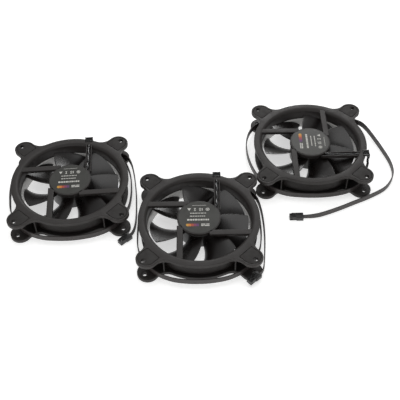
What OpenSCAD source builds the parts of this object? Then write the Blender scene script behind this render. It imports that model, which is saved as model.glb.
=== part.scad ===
// Set of three radiator fans with lighting rings, lying in a row, outlet side up

/* [Fan frame] */
// Outer width and depth of one fan
fan_w = 120; // [110:1:144]
// Thickness of one fan, face to face
fan_t = 25; // [24:0.5:32]
// Distance from a side of the fan to the centre of a screw hole
hole_inset = 7.5; // [7:0.1:9]
// Diameter of the screw holes
hole_d = 4.3; // [3.5:0.1:5]
// Thickness of the two flanges
flange_t = 4; // [3.4:0.1:4.8]
// Radius of the rounded corner lobes
lobe_r = 10.5; // [9.5:0.1:12]
// Radius of the hollow between a lobe and the ring
valley_r = 12; // [9:0.5:14]
// How far the front ring stays inside the back ring
front_step = 2; // [1:0.5:3]
// Thickness of the duct wall
duct_wall = 2.7; // [2.6:0.1:3.5]
// Width of the flange ring outside the air opening
rim_w = 8.5; // [7.5:0.1:10]
// Thickness of the eight corner ribs
rib_t = 1.4; // [1:0.1:2]
// How far the ribs end inside the outline
rib_inset = 1; // [0.5:0.1:2]

/* [Struts and motor seat] */
// Radius of the round motor seat
seat_r = 21.5; // [20:0.5:24]
// Thickness of the motor seat
seat_t = 3; // [2.5:0.1:3.5]
// Width of the four struts
strut_w = 6.2; // [5.8:0.1:7]
// Depth of the four struts
strut_t = 3.6; // [3.2:0.1:3.9]
// How far seat and struts lie below the back face
seat_sink = 0.5; // [0.3:0.1:1]

/* [Impeller] */
// Number of blades
blades = 7; // [5:1:9]
// Gap between the blade tips and the light ring
tip_gap = 1; // [0.8:0.1:2]
// Outer radius of the hub
hub_r = 20.5; // [19:0.5:21.4]
// Thickness of the hub wall
hub_wall = 1.6; // [1.2:0.1:2]
// Thickness of a blade
blade_t = 1.5; // [1:0.1:2]
// Gap between the hub and the motor seat
hub_gap = 1.5; // [1:0.1:2]

/* [Motor] */
// Radius of the shaft
shaft_r = 1.5; // [1.2:0.1:2]
// Radial play of the shaft in its bearing
shaft_play = 0.03; // [0.01:0.01:0.1]
// Wall of the bearing sleeve
bearing_wall = 1.67; // [1.2:0.01:2]
// Wall of the bearing tube
tube_wall = 0.9; // [0.7:0.1:1.2]
// Thickness of the steel cup
cup_t = 0.9; // [0.6:0.1:1.2]
// Thickness of the magnet ring
magnet_t = 1.4; // [1:0.1:2]
// Air gap between magnet ring and stator
air_gap = 0.6; // [0.4:0.1:1]
// Height of the stator core
core_h = 5.6; // [5:0.1:6.2]
// Thickness of the motor board
board_t = 1; // [0.8:0.1:1.2]

/* [Light ring] */
// Height of the light ring above the front face
glow_h = 12; // [10:0.5:13]
// Wall of the light ring
glow_t = 1.5; // [1.2:0.1:1.8]
// Lights on the strip
lights = 12; // [8:2:18]

/* [Corner pads] */
// Thickness of the rubber pads
pad_t = 1.2; // [1:0.1:1.5]
// Border of the lobe outside a pad
pad_border = 2.2; // [1.8:0.1:3]
// Width of the groove round a pad
pad_groove = 0.35; // [0.2:0.05:0.5]

/* [Lead] */
// Width of the flat lead
lead_w = 6.4; // [5:0.1:7.4]
// Width of the flat lead where it enters the plug
lead_end_w = 4.4; // [4:0.1:5]
// Thickness of the flat lead
lead_t = 1.2; // [1:0.1:1.4]
// Diameter of one motor wire
wire_d = 1; // [0.8:0.05:1.05]
// Length of the plug
plug_l = 14; // [12:0.5:16]
// Width of the plug
plug_w = 7.5; // [7:0.1:8]
// Height of the plug
plug_h = 5; // [4.6:0.1:5.6]

/* [Row] */
// Gap between the left fan and the middle fan, along the row
left_gap = 12; // [11:1:30]
// How far the left fan is set back
left_back = 53.4; // [50:0.1:60]
// Turn of the left fan
left_turn = 3.8; // [0:0.1:6]
// Gap between the middle fan and the right fan, along the row
right_gap = 0; // [0:1:30]
// How far the right fan is set back
right_back = 104; // [100:0.5:110]

/* [Hidden] */
$fn = 96;
eps = 0.01;
lap = 3.5;

FANS = ["left", "middle", "right"];
PARTS = ["frame", "back_pads", "front_pads", "light_ring", "light_strip", "impeller",
         "rotor_cup", "magnet_ring", "shaft", "shaft_clip", "bearing", "stator_core",
         "stator_insulator", "stator_coils", "motor_board", "label", "lead_clip",
         "motor_wires", "lead", "plug"];

// place of each fan in the row, and the side its lead leaves by: 0 is the back, -90 the right
place = [[-fan_w - left_gap, left_back, left_turn], [0, 0, 0], [fan_w + right_gap, right_back, 0]];
lead_side = [0, 0, -90];
// where the blades stand at rest
blade_turn = [25, 22, 3];

ring_r = fan_w / 2;
front_r = ring_r - front_step;
bore_r = ring_r - rim_w;
duct_r = bore_r + duct_wall;
lobe_c = fan_w / 2 - lobe_r;
hole_c = fan_w / 2 - hole_inset;
back_z = fan_t - flange_t;

// front rebate for the light ring and its strip
glow_r = bore_r - glow_t;
glow_out = bore_r + 0.1;
glow_lip_r = bore_r + 4.5;
glow_lip_t = 1.2;
glow_sink = 0.3;
strip_t = 0.5;
strip_out = bore_r + 1.4;
strip_in = strip_out - strip_t;
strip_z = 3;
strip_h = 7;
flare = 3;
flare_h = 2.6;

seat_top = fan_t - seat_sink;
seat_z = seat_top - seat_t;
strut_z = seat_top - strut_t;
strut_c = seat_r - strut_w / 2 + 0.2;
channel_w = strut_w - 2;
channel_z = strut_z + 0.6;

hub_top = seat_z - hub_gap;
hub_z = 3;
hub_floor = 2;
blade_top = hub_top - 1.1;
blade_low = hub_z + 0.7;
tip_r = glow_r - tip_gap;

bearing_r = shaft_r + shaft_play + bearing_wall;
tube_r = bearing_r + tube_wall;
boss_r = shaft_r + 1.9;
boss_top = hub_z + hub_floor + 3;
tube_z = boss_top + 0.5;
bearing_z = tube_z + 0.4;
bearing_top = seat_z - 1.8;
clip_z = bearing_top + 0.5;
clip_t = 0.5;
groove_r = shaft_r - 0.4;
shaft_top = seat_z + 0.4;
chamber_top = seat_z + 1.3;

cup_r = hub_r - hub_wall;
cup_z = hub_z + hub_floor;
cup_top = hub_top - 0.5;
magnet_r = cup_r - cup_t;
stator_r = magnet_r - magnet_t - air_gap;
board_z = seat_z - board_t;
board_r = stator_r - 0.6;
coil_gap = 0.7;
insulator_t = 1.2;
coil_over = 1.2;
core_z = board_z - coil_gap - coil_over - insulator_t - core_h;
magnet_z = core_z - 2.2;
magnet_h = core_h + 4.4;
yoke_r = tube_r + 2.4;
arm_w = 3.6;
head_t = 2;
coil_in = yoke_r + 0.4;
coil_w = arm_w + 5;
coil_out = sqrt(pow(stator_r - head_t - 0.4, 2) - pow(coil_w / 2, 2));

slot_x = 12.6;
slot_y = 9.8;
slot_l = 8;
slot_turn = 52;
label_r = seat_r - 1.3;
label_t = 0.25;

pad_r = lobe_r - pad_border;
pad_l = 8.5;

clip_w = 8.4;
clip_cap_t = 1;
clip_leg_t = 1.2;
clip_leg_w = 1.6;
clip_leg_h = 5;
clip_play = 0.1;
rim_y = sqrt(pow(ring_r, 2) - pow(strut_c - clip_w / 2, 2));

// lead of the left fan, in that fan's own place, from the rim to the plug
left_route = [
    [22.5, 59.8, 12.6], [27, 58.2, 11.6], [28, 57.8, 11.3], [33, 55.8, 10], [42, 51, 8.2],
    [48, 47.5, 7.4], [53.5, 40, 7.4],
    [58.6, 28, 7.4], [61.4, 14, 7.4], [62, 0, 7.4], [61.4, -13, 7.4], [59, -27, 7.4],
    [54.5, -38, 7.4], [48, -47.5, 7.4], [39, -55, 7.4], [27, -60.5, 7.4], [13, -63.2, 7.4],
    [0, -64, 7.4], [-13, -63.2, 7.4], [-26, -61, 7.4], [-38, -56, 7.4], [-48, -48, 7.4],
    [-56, -37, 7.4], [-61, -24, 7.4], [-63, -10, 7.4], [-63.8, 4, 7.4], [-63, 18, 7.4],
    [-60.5, 31, 7.4], [-55.5, 41, 7.4], [-48.5, 48.5, 7.4], [-38, 55.5, 7.4], [-26, 60.3, 7.4],
    [-13, 62.2, 7.4], [0, 63, 7.4], [13, 63.2, 7.4], [26, 62.3, 7.4], [37, 59.4, 7.4],
    [45, 54.8, 7.4], [51, 49.2, 7.4], [58, 44, 7.4], [62.6, 33, 7.4], [65, 18, 7.4],
    [66.2, 3, 7.4], [66.8, -12, 7.4], [66.7, -26, 7.2], [66.2, -38, 6.2], [65.2, -47.5, 4.8],
    [63.6, -54.2, 3.6], [61.6, -58.4, 2.8], [59.2, -60.6, 2.3]];
// lead of the middle fan, whose plug rests on the edge of the front flange
middle_route = [
    [22.5, 59.8, 12.6], [27, 58.2, 11.6], [28, 57.8, 11.3], [33, 55.8, 10], [42, 51, 8.2],
    [48, 47.5, 7.4], [53.5, 40, 7.4],
    [58, 28, 7.4], [60.6, 14, 7.4], [61.2, 0, 7.4], [61, -12, 7.4], [59, -26, 7.4],
    [54.5, -38, 7.4], [48, -47.5, 7.4], [39, -55, 7.4], [27, -61, 7.4], [13, -64, 7.4],
    [0, -65, 7.4], [-13, -64.4, 7.4], [-26, -62, 7.4], [-38, -56.6, 7.4], [-48, -48, 7.4],
    [-55.5, -37, 7.4], [-59.6, -25, 7.4], [-60.8, -12, 7.4], [-60.8, 2, 7.4], [-60.4, 16, 7.4],
    [-58.8, 29, 7.4], [-55, 40, 7.4], [-48.5, 48.5, 7.4], [-38, 55.5, 7.4], [-26, 60.3, 7.4],
    [-13, 62.2, 7.4], [0, 63, 7.4], [13, 63.2, 7.4], [26, 62.3, 7.4], [37, 59.4, 7.4],
    [45, 54.8, 7.4], [50.6, 49.6, 7.4], [57, 43.5, 7.4], [61, 34, 7.4], [63.4, 20, 7.4],
    [64.4, 6, 7.4], [64.5, -9, 7.4], [63.9, -22, 7.4], [62.9, -34, 7.4], [62, -43, 7.2],
    [61.2, -49, 6.9], [59.4, -53.5, 6.6], [56.4, -56.3, 6.4]];
// lead of the right fan, which lies free past the fan's back right corner
right_route = [
    [59.8, -22.5, 12.6], [58.2, -27, 11.6], [57.8, -28, 11.3], [56, -33, 10],
    [52, -41.5, 8.2], [47.5, -48, 7.4], [39, -54.5, 7.4],
    [27, -59, 7.4], [13, -61.4, 7.4], [0, -62, 7.4], [-13, -61.4, 7.4], [-27, -59.4, 7.4],
    [-38, -55, 7.4], [-47.5, -48.5, 7.4], [-55, -39, 7.4], [-61, -26, 7.4], [-65, -12, 7.4],
    [-67, 3, 7.4], [-66.6, 18, 7.4], [-63.4, 31, 7.4], [-57.4, 41.5, 7.4], [-48.5, 49, 7.4],
    [-38, 55.5, 7.4], [-26, 60.3, 7.4], [-13, 62.2, 7.4], [0, 62.8, 7.4], [13, 62.4, 7.4],
    [26, 60.6, 7.4], [38, 57.4, 7.4], [48.5, 54, 7.4], [57, 50, 7.4], [64, 45.5, 7.1],
    [69.5, 38.5, 5.7], [76.5, 23, 4], [82.4, 6, 3.4], [86.5, -9, 3.3], [87.8, -21.5, 3.3],
    [86.4, -31.5, 3.3], [82, -41, 3.3], [73.5, -51, 3.3], [57, -61, 3.3], [41.5, -68.3, 3.3],
    [28.5, -74.5, 3.3], [16, -80, 3.3], [4, -84.4, 3.2], [-4, -85.8, 2.8], [-9, -86, 2.4],
    [-14, -86, 2.3]];
routes = [left_route, middle_route, right_route];
// rear end of each plug, how high it lies and the way it points
plug_at = [[59.2, -60.6, 0, 220], [56.4, -56.3, flange_t + 0.1, 222], [-14, -86, 0, 180]];
// rings over which a lead narrows towards its plug
lead_taper = 3;

// wires that leave the motor board, laid round each other at wire_off from their middle
wires = 3;
wire_off = 0.68;
wire_z = channel_z + wire_off + wire_d / 2 + 0.05;
// motor wires, from the board along the open strut, over the rim and down to the flat lead
wire_route = [
    [11.8, 8.8, wire_z], [13.4, 10.9, wire_z], [15.3, 13.3, wire_z], [strut_c - 1.2, 17, wire_z],
    [strut_c - 0.2, 24, wire_z], [strut_c, 34, wire_z], [strut_c, 43, wire_z], [strut_c, 51, wire_z],
    [strut_c, 56, wire_z + 0.07], [strut_c, 59, wire_z - 1.05], [18.75, 59.7, 18.2],
    [19.1, 59.7, 15.4], [20.2, 59.8, 13.6], [22.5, 59.8, 12.6]];
// how far a wire turns round the others from one point of the route to the next
wire_twist = 50;
sleeve_t = 2.8;
sleeve_w = 6.8;
plug_rib = 0.8;

// outline of a flange: ring, four lobes and the hollows between them, as one run of points
function span(a, b, n) = [for (i = [0:n]) a + (b - a) * i / n];
function arc(c, r, a, b, n) = [for (t = span(a, b, n)) c + r * [cos(t), sin(t)]];
function turned(p, a) = [p[0] * cos(a) - p[1] * sin(a), p[0] * sin(a) + p[1] * cos(a)];
lobe_dist = lobe_c * sqrt(2);
function valley_turn(rr) = acos((pow(lobe_dist, 2) + pow(rr + valley_r, 2)
    - pow(lobe_r + valley_r, 2)) / (2 * lobe_dist * (rr + valley_r)));
function corner_run(rr) =
    let (va = valley_turn(rr),
         p1 = (rr + valley_r) * [cos(45 - va), sin(45 - va)],
         p2 = (rr + valley_r) * [cos(45 + va), sin(45 + va)],
         c = [lobe_c, lobe_c],
         a1 = atan2(p1[1] - c[1], p1[0] - c[0]),
         a2 = atan2(p2[1] - c[1], p2[0] - c[0]))
    concat(arc([0, 0], rr, va - 45, 45 - va, 11),
           arc(p1, valley_r, 225 - va, a1 + 180, 6),
           arc(c, lobe_r, a1, a2, 18),
           arc(p2, valley_r, a2 - 180, va - 135, 6));
module outline(rr) {
    run = corner_run(rr);
    polygon([for (q = [0:3], p = run) turned(p, 90 * q)]);
}

module at_corners() for (a = [0, 90, 180, 270]) rotate(a) children();

// outline of a rubber pad: round at the corner, straight towards the fan's centre
module pad_shape(r) {
    l = pad_l + r - pad_r;
    translate([lobe_c, lobe_c]) rotate(45)
        polygon(concat(arc([0, 0], r, -90, 90, 24), [[-l, r], [-l, -r]]));
}

// strut, clear of the motor board below the seat
module strut() difference() {
    translate([strut_c - strut_w / 2, 0, strut_z]) cube([strut_w, bore_r + lap, strut_t]);
    translate([0, 0, strut_z - 1]) cylinder(r = board_r + 0.3, h = seat_z - strut_z + 1);
}

// frame: duct, two flanges, ribs, struts and motor seat, moulded in one
module frame() color("#3e3c3a") difference() {
    union() {
        difference() {
            union() {
                translate([0, 0, back_z]) linear_extrude(flange_t) outline(ring_r);
                linear_extrude(flange_t) outline(front_r);
                cylinder(r = duct_r, h = fan_t);
                at_corners() {
                    corner_rib();
                    mirror([1, -1, 0]) corner_rib();
                }
            }
            translate([0, 0, -eps]) cylinder(r = bore_r, h = fan_t + 2 * eps);
            translate([0, 0, fan_t - flare_h])
                cylinder(r1 = bore_r, r2 = bore_r + flare, h = flare_h + eps);
            translate([0, 0, -eps]) cylinder(r = strip_out, h = glow_h + eps);
            translate([0, 0, -eps]) cylinder(r = glow_lip_r, h = glow_lip_t + eps);
        }
        at_corners() strut();
        translate([0, 0, seat_z]) cylinder(r = seat_r, h = seat_t);
        translate([0, 0, tube_z]) cylinder(r = tube_r, h = seat_z - tube_z + eps);
    }
    translate([0, 0, tube_z - eps]) cylinder(r = bearing_r, h = chamber_top - tube_z + eps);
    // slot and channel for the motor wires
    strut_channel();
    slot_box(slot_l, seat_z - 1);
    // seat of the lead clip
    translate([strut_c - clip_w / 2, bore_r + 1, fan_t - clip_cap_t])
        cube([clip_w, rim_w + lap, clip_cap_t + 1]);
    at_corners() {
        translate([hole_c, hole_c, -1]) cylinder(d = hole_d, h = fan_t + 2);
        translate([0, 0, fan_t - pad_t]) linear_extrude(pad_t + 1) pad_shape(pad_r + pad_groove);
        translate([0, 0, -1]) linear_extrude(pad_t + 1) pad_shape(pad_r + pad_groove);
    }
}

module corner_rib() {
    va = valley_turn(front_r);
    x = (front_r + valley_r) * sin(45 - va);
    y0 = sqrt(pow(bore_r + duct_wall / 2, 2) - pow(x, 2));
    y1 = (front_r + valley_r) * cos(45 - va) - valley_r - rib_inset;
    translate([x - rib_t / 2, y0, flange_t - eps]) cube([rib_t, y1 - y0, back_z - flange_t + 2 * eps]);
}

// open channel along one strut, with a slanted start from the slot in the motor seat
module strut_channel() {
    translate([strut_c - channel_w / 2, seat_r - 5, channel_z])
        cube([channel_w, ring_r, fan_t]);
    slot_box(slot_l + 6, channel_z);
}

module slot_box(l, z) {
    translate([slot_x, slot_y, z]) rotate(slot_turn) translate([-slot_l / 2, -channel_w / 2, 0])
        cube([l, channel_w, fan_t]);
}

module pads(z) color("#2d2b2a") at_corners() translate([0, 0, z]) linear_extrude(pad_t) difference() {
    pad_shape(pad_r);
    translate([hole_c, hole_c]) circle(d = hole_d);
}

// light ring: clear wall inside the duct, with a lip over the front
module light_ring() color("#d9d9d6", 0.8) rotate_extrude() polygon([
    [glow_r, glow_sink], [glow_lip_r, glow_sink], [glow_lip_r, glow_lip_t], [glow_out, glow_lip_t],
    [glow_out, glow_h], [glow_r + 0.4, glow_h], [glow_r, glow_h - 0.4]]);

// strip of lights behind the light ring
module light_strip() color("#dfe3df") {
    difference() {
        translate([0, 0, strip_z]) cylinder(r = strip_out, h = strip_h);
        translate([0, 0, strip_z - 1]) cylinder(r = strip_in, h = strip_h + 2);
    }
    for (i = [0:lights - 1]) rotate(i * 360 / lights)
        translate([glow_out + 0.15, -1.5, strip_z + 2]) cube([strip_in - glow_out + 0.05, 3, 3]);
}

// blade surface: q runs from hub to tip, s from the front edge to the back edge
function back_edge(q) = -15 * q;
function front_edge(q) = -48.5 - 14 * q * q;
function blade_angle(q, s) = front_edge(q) + (back_edge(q) - front_edge(q)) * s - 31 * s * (1 - s);
blade_root = hub_r - 0.9;
function blade_point(q, s) =
    let (r = blade_root + (tip_r - blade_root) * q, a = blade_angle(q, s))
    [r * cos(a), r * sin(a), blade_low + (blade_top - blade_low) * s];
function unit(v) = v / norm(v);
function blade_normal(q, s) =
    unit(cross(blade_point(q + 0.01, s) - blade_point(q - 0.01, s),
               blade_point(q, s + 0.01) - blade_point(q, s - 0.01)));
// thickness tapers towards the two edges
function blade_half(s) = blade_t / 2 * (0.35 + 0.65 * sqrt(max(0, 4 * s * (1 - s))));
function on_radius(p, r) = [p[0] * r / norm([p[0], p[1]]), p[1] * r / norm([p[0], p[1]]), p[2]];
function blade_side(q, s, side) =
    on_radius(blade_point(q, s) + side * blade_half(s) * blade_normal(q, s),
              blade_root + (tip_r - blade_root) * q);
blade_n = 6;
module blade() {
    m = blade_n + 1;
    grid = [for (side = [1, -1], i = [0:blade_n], j = [0:blade_n])
        blade_side(i / blade_n, j / blade_n, side)];
    function at(side, i, j) = side * m * m + i * m + j;
    quads = concat(
        [for (i = [0:blade_n - 1], j = [0:blade_n - 1])
            [at(0, i, j), at(0, i, j + 1), at(0, i + 1, j + 1), at(0, i + 1, j)]],
        [for (i = [0:blade_n - 1], j = [0:blade_n - 1])
            [at(1, i, j), at(1, i + 1, j), at(1, i + 1, j + 1), at(1, i, j + 1)]],
        [for (i = [0:blade_n - 1]) [at(0, i, 0), at(0, i + 1, 0), at(1, i + 1, 0), at(1, i, 0)]],
        [for (i = [0:blade_n - 1])
            [at(0, i + 1, blade_n), at(0, i, blade_n), at(1, i, blade_n), at(1, i + 1, blade_n)]],
        [for (j = [0:blade_n - 1]) [at(0, 0, j + 1), at(0, 0, j), at(1, 0, j), at(1, 0, j + 1)]],
        [for (j = [0:blade_n - 1])
            [at(0, blade_n, j), at(0, blade_n, j + 1), at(1, blade_n, j + 1), at(1, blade_n, j)]]);
    polyhedron(grid, [for (q = quads, t = [0, 1]) [q[0], q[t + 1], q[t + 2]]]);
}

// impeller: hub cup open towards the motor seat, with the blades moulded on
module impeller() color("#4a4846") {
    rotate_extrude() polygon([
        [shaft_r, hub_z + 1], [shaft_r, boss_top], [boss_r, boss_top], [boss_r, cup_z],
        [cup_r, cup_z], [cup_r, hub_top], [hub_r, hub_top], [hub_r, hub_z + 0.8],
        [hub_r - 0.8, hub_z], [0, hub_z], [0, hub_z + 1]]);
    for (i = [0:blades - 1]) rotate(i * 360 / blades) blade();
}

module rotor_cup() color("silver") rotate_extrude() polygon([
    [boss_r + 0.05, cup_z], [cup_r, cup_z], [cup_r, cup_top], [cup_r - cup_t, cup_top],
    [cup_r - cup_t, cup_z + cup_t], [boss_r + 0.05, cup_z + cup_t]]);

module magnet_ring() color("#55504c") translate([0, 0, magnet_z]) difference() {
    cylinder(r = magnet_r, h = magnet_h);
    translate([0, 0, -1]) cylinder(r = magnet_r - magnet_t, h = magnet_h + 2);
}

module shaft() color("silver") rotate_extrude() polygon([
    [0, hub_z + 1], [shaft_r, hub_z + 1], [shaft_r, clip_z - 0.1], [groove_r, clip_z - 0.1],
    [groove_r, clip_z + clip_t + 0.1], [shaft_r, clip_z + clip_t + 0.1],
    [shaft_r, shaft_top - 0.3], [shaft_r - 0.3, shaft_top], [0, shaft_top]]);

module shaft_clip() color("#e8e4d8") translate([0, 0, clip_z]) difference() {
    cylinder(r = bearing_r - 0.6, h = clip_t);
    translate([0, 0, -1]) cylinder(r = groove_r, h = clip_t + 2);
    translate([0, -0.4, -1]) cube([bearing_r, 0.8, clip_t + 2]);
}

module bearing() color("#b08d57") translate([0, 0, bearing_z]) difference() {
    cylinder(r = bearing_r, h = bearing_top - bearing_z);
    translate([0, 0, -1]) cylinder(r = shaft_r + shaft_play, h = fan_t);
}

// stator lamination, grown by g for the plastic insulator
module lamination(g) {
    difference() {
        union() {
            circle(yoke_r + g);
            for (a = [0, 90]) rotate(a)
                square([2 * stator_r - 1, arm_w + 2 * g], center = true);
            intersection() {
                difference() {
                    circle(stator_r);
                    circle(stator_r - head_t - g);
                }
                for (a = [0, 90, 180, 270]) rotate(a)
                    polygon([[0, 0], [20, -14], [20, 14]]);
            }
        }
        circle(tube_r);
    }
}

module stator_core() color("#7a7d80") translate([0, 0, core_z]) linear_extrude(core_h) lamination(0);

module stator_insulator() color("#e6e2d6")
    for (z = [core_z - insulator_t, core_z + core_h])
        translate([0, 0, z]) linear_extrude(insulator_t) lamination(0.3);

module stator_coils() color("#b5651d") at_corners() difference() {
    coil_block(coil_out - coil_in, coil_w, core_h + 2 * (insulator_t + coil_over), 0);
    coil_block(coil_out - coil_in, arm_w + 0.6, core_h + 2 * insulator_t, 1);
}

module coil_block(l, w, h, over) {
    translate([coil_in - over, -w / 2, core_z + core_h / 2 - h / 2]) cube([l + 2 * over, w, h]);
}

module motor_board() color("#2f6b3a") translate([0, 0, board_z]) difference() {
    cylinder(r = board_r, h = board_t);
    translate([0, 0, -1]) cylinder(r = tube_r, h = board_t + 2);
}

module label() color("#4a4b42") translate([0, 0, seat_top]) difference() {
    cylinder(r = label_r, h = label_t);
    translate([0, 0, -seat_top]) strut_channel();
}

// clip that holds the wires in the notch of the rim
module lead_clip() color("#1c1b1b") {
    y0 = bore_r + 1 + clip_play;
    y1 = rim_y + clip_play;
    side_x = clip_w / 2 - clip_play;
    translate([strut_c - side_x, y0, fan_t - clip_cap_t])
        cube([2 * side_x, y1 + clip_leg_t - y0, clip_cap_t]);
    for (x = [-side_x, side_x - clip_leg_w])
        translate([strut_c + x, y1, fan_t - clip_leg_h]) cube([clip_leg_w, clip_leg_t, clip_leg_h]);
}

// sweep of a closed section along a route; the section's second axis stays upright
function catmull(a, b, c, d, t) = 0.5 * (2 * b + (c - a) * t + (2 * a - 5 * b + 4 * c - d) * t * t
    + (3 * b - a - 3 * c + d) * t * t * t);
function smooth(p, n) = let (m = len(p) - 1) concat(
    [for (i = [0:m - 1], k = [0:n - 1])
        catmull(p[max(i - 1, 0)], p[i], p[i + 1], p[min(i + 2, m)], k / n)], [p[m]]);
function heading(p, i) = unit(p[min(i + 1, len(p) - 1)] - p[max(i - 1, 0)]);
function ring_at(p, i, section) =
    let (h = heading(p, i), side = unit(cross(h, abs(h[2]) > 0.9 ? [1, 0, 0] : [0, 0, 1])), up = cross(side, h))
    [for (s = section) p[i] + s[0] * side + s[1] * up];
module sweep(rings) {
    n = len(rings);
    k = len(rings[0]);
    polyhedron([for (r = rings, p = r) p], concat(
        [[for (j = [0:k - 1]) j]],
        [for (i = [0:n - 2], j = [0:k - 1], t = [0, 1]) t == 0
            ? [i * k + j, (i + 1) * k + j, (i + 1) * k + (j + 1) % k]
            : [i * k + j, (i + 1) * k + (j + 1) % k, i * k + (j + 1) % k]],
        [[for (j = [k - 1:-1:0]) (n - 1) * k + j]]));
}

// three wires laid round each other
module motor_wires() color("#252423") {
    p = smooth(wire_route, 2);
    section = [for (a = [0:45:315]) wire_d / 2 * [cos(a), sin(a)]];
    for (w = [0:wires - 1]) {
        q = [for (i = [0:len(p) - 1])
            let (h = heading(p, i), side = unit(cross(h, [1, 0, 0.1])), up = cross(side, h),
                 a = w * 360 / wires + wire_twist * i)
            p[i] + wire_off * (cos(a) * side + sin(a) * up)];
        sweep([for (i = [0:len(q) - 1]) ring_at(q, i, section)]);
    }
}

// flat section with its corners taken off
function flat_section(w, t) = let (b = w / 2, h = t / 2, c = t / 3)
    [[h, c - b], [h, b - c], [h - c, b], [c - h, b], [-h, b - c], [-h, c - b], [c - h, -b], [h - c, -b]];

// width of the lead at ring i of n
function lead_width(i, n) =
    lead_w - (lead_w - lead_end_w) * max(0, i + 1 + lead_taper - n) / lead_taper;

// flat lead, standing on its edge, with a sleeve where the motor wires enter it
module lead(f) color("#2a2928") {
    p = routes[f];
    sweep([for (i = [0:len(p) - 1]) ring_at(p, i,
        i < 2 ? flat_section(sleeve_w, sleeve_t) : flat_section(lead_width(i, len(p)), lead_t))]);
}

// plug: housing with two guide ribs
module plug(f) color("#232222") translate([plug_at[f][0], plug_at[f][1], plug_at[f][2]]) rotate(plug_at[f][3]) {
    translate([0, -plug_w / 2, 0]) cube([plug_l, plug_w, plug_h - plug_rib]);
    for (y = [-plug_w / 2 + plug_rib, plug_w / 2 - 2 * plug_rib])
        translate([2, y, plug_h - plug_rib - eps]) cube([plug_l - 4, plug_rib, plug_rib + eps]);
}

module fan_part(f, part) translate([place[f][0], place[f][1], 0]) rotate(place[f][2]) {
    if (part == "lead") lead(f);
    if (part == "plug") plug(f);
    rotate(lead_side[f]) {
        if (part == "frame") frame();
        if (part == "back_pads") pads(fan_t - pad_t);
        if (part == "front_pads") pads(0);
        if (part == "light_ring") light_ring();
        if (part == "light_strip") light_strip();
        if (part == "rotor_cup") rotor_cup();
        if (part == "magnet_ring") magnet_ring();
        if (part == "shaft") shaft();
        if (part == "shaft_clip") shaft_clip();
        if (part == "bearing") bearing();
        if (part == "stator_core") stator_core();
        if (part == "stator_insulator") stator_insulator();
        if (part == "stator_coils") stator_coils();
        if (part == "motor_board") motor_board();
        if (part == "label") label();
        if (part == "lead_clip") lead_clip();
        if (part == "motor_wires") motor_wires();
    }
    if (part == "impeller") rotate(blade_turn[f]) impeller();
}

for (f = [0:len(FANS) - 1], p = PARTS)
    fan_part(f, p);
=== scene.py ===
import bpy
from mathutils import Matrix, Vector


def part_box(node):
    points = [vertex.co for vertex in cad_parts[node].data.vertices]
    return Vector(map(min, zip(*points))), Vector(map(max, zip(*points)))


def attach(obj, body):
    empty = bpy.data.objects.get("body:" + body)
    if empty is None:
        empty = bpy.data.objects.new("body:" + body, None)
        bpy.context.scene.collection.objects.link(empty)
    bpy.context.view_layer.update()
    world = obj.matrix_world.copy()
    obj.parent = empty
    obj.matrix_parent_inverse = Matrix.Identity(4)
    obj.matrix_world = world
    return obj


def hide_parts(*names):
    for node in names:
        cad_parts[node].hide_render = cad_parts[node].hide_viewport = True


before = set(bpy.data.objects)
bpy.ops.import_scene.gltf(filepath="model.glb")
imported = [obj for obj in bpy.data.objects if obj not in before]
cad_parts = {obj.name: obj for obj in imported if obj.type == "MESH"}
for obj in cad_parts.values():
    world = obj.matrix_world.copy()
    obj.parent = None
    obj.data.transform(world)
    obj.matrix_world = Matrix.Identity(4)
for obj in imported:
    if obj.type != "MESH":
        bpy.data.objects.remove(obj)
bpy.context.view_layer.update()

import math

import bmesh
import bpy
import numpy as np
from mathutils import Matrix, Vector


# --- Camera -----------------------------------------------------------------------------
# It stands in front of the row and looks down at it by 48 degrees. Its lens is a short
# telephoto, so the square fans keep their shape.

TILT = math.radians(48.21)
LEAN = -0.014
AIM = Vector((0.00125, 0.04454, 0.0))
DISTANCE = 0.7913

across = Vector((1, 0, 0))
forward = Vector((0, math.cos(TILT), -math.sin(TILT)))
upward = across.cross(forward)
across, upward = (math.cos(LEAN) * across + math.sin(LEAN) * upward,
                  math.cos(LEAN) * upward - math.sin(LEAN) * across)
lens = bpy.data.cameras.new("camera")
lens.sensor_width = 36
lens.lens = 68.35
camera = bpy.data.objects.new("camera", lens)
turn = Matrix((across, upward, -forward)).transposed().to_4x4()
camera.matrix_world = Matrix.Translation(AIM - DISTANCE * forward) @ turn
bpy.context.collection.objects.link(camera)
bpy.context.scene.camera = camera


# --- Flat leads ---------------------------------------------------------------------------
# Each fan has one flat lead of seven fine conductors, jacketed in black PVC and pressed into
# a ribbed ribbon, which narrows towards its plug. The left and middle leads are wound round
# their fan between its flanges. The right one goes round once and then lies free on the
# table, on its edge.

FANS = ("left", "middle", "right")
FAN_TURN = {"left": 3.8, "middle": 0.0, "right": 0.0}
MM = 0.001


def in_place(fan, turned=0.0):
    """Where a fan lies: from its own axes, on its front face's centre, to the row's."""
    low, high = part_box(fan + "_shaft")
    centre = (low + high) / 2
    return (Matrix.Translation((centre.x, centre.y, 0))
            @ Matrix.Rotation(math.radians(FAN_TURN[fan] + turned), 4, "Z"))


def piece(name, points, faces, material, place, sharp=35):
    """A mesh object at the origin, its points given in millimetres in a fan's own axes."""
    mesh = bpy.data.meshes.new(name)
    mesh.from_pydata([place @ (Vector(p) * MM) for p in points], [], faces)
    shape = bmesh.new()
    shape.from_mesh(mesh)
    bmesh.ops.remove_doubles(shape, verts=shape.verts, dist=1e-6)
    bmesh.ops.recalc_face_normals(shape, faces=shape.faces)
    shape.to_mesh(mesh)
    shape.free()
    mesh.shade_smooth()
    mesh.set_sharp_from_angle(angle=math.radians(sharp))
    mesh.materials.append(material)
    made = bpy.data.objects.new(name, mesh)
    bpy.context.collection.objects.link(made)
    return made


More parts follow.
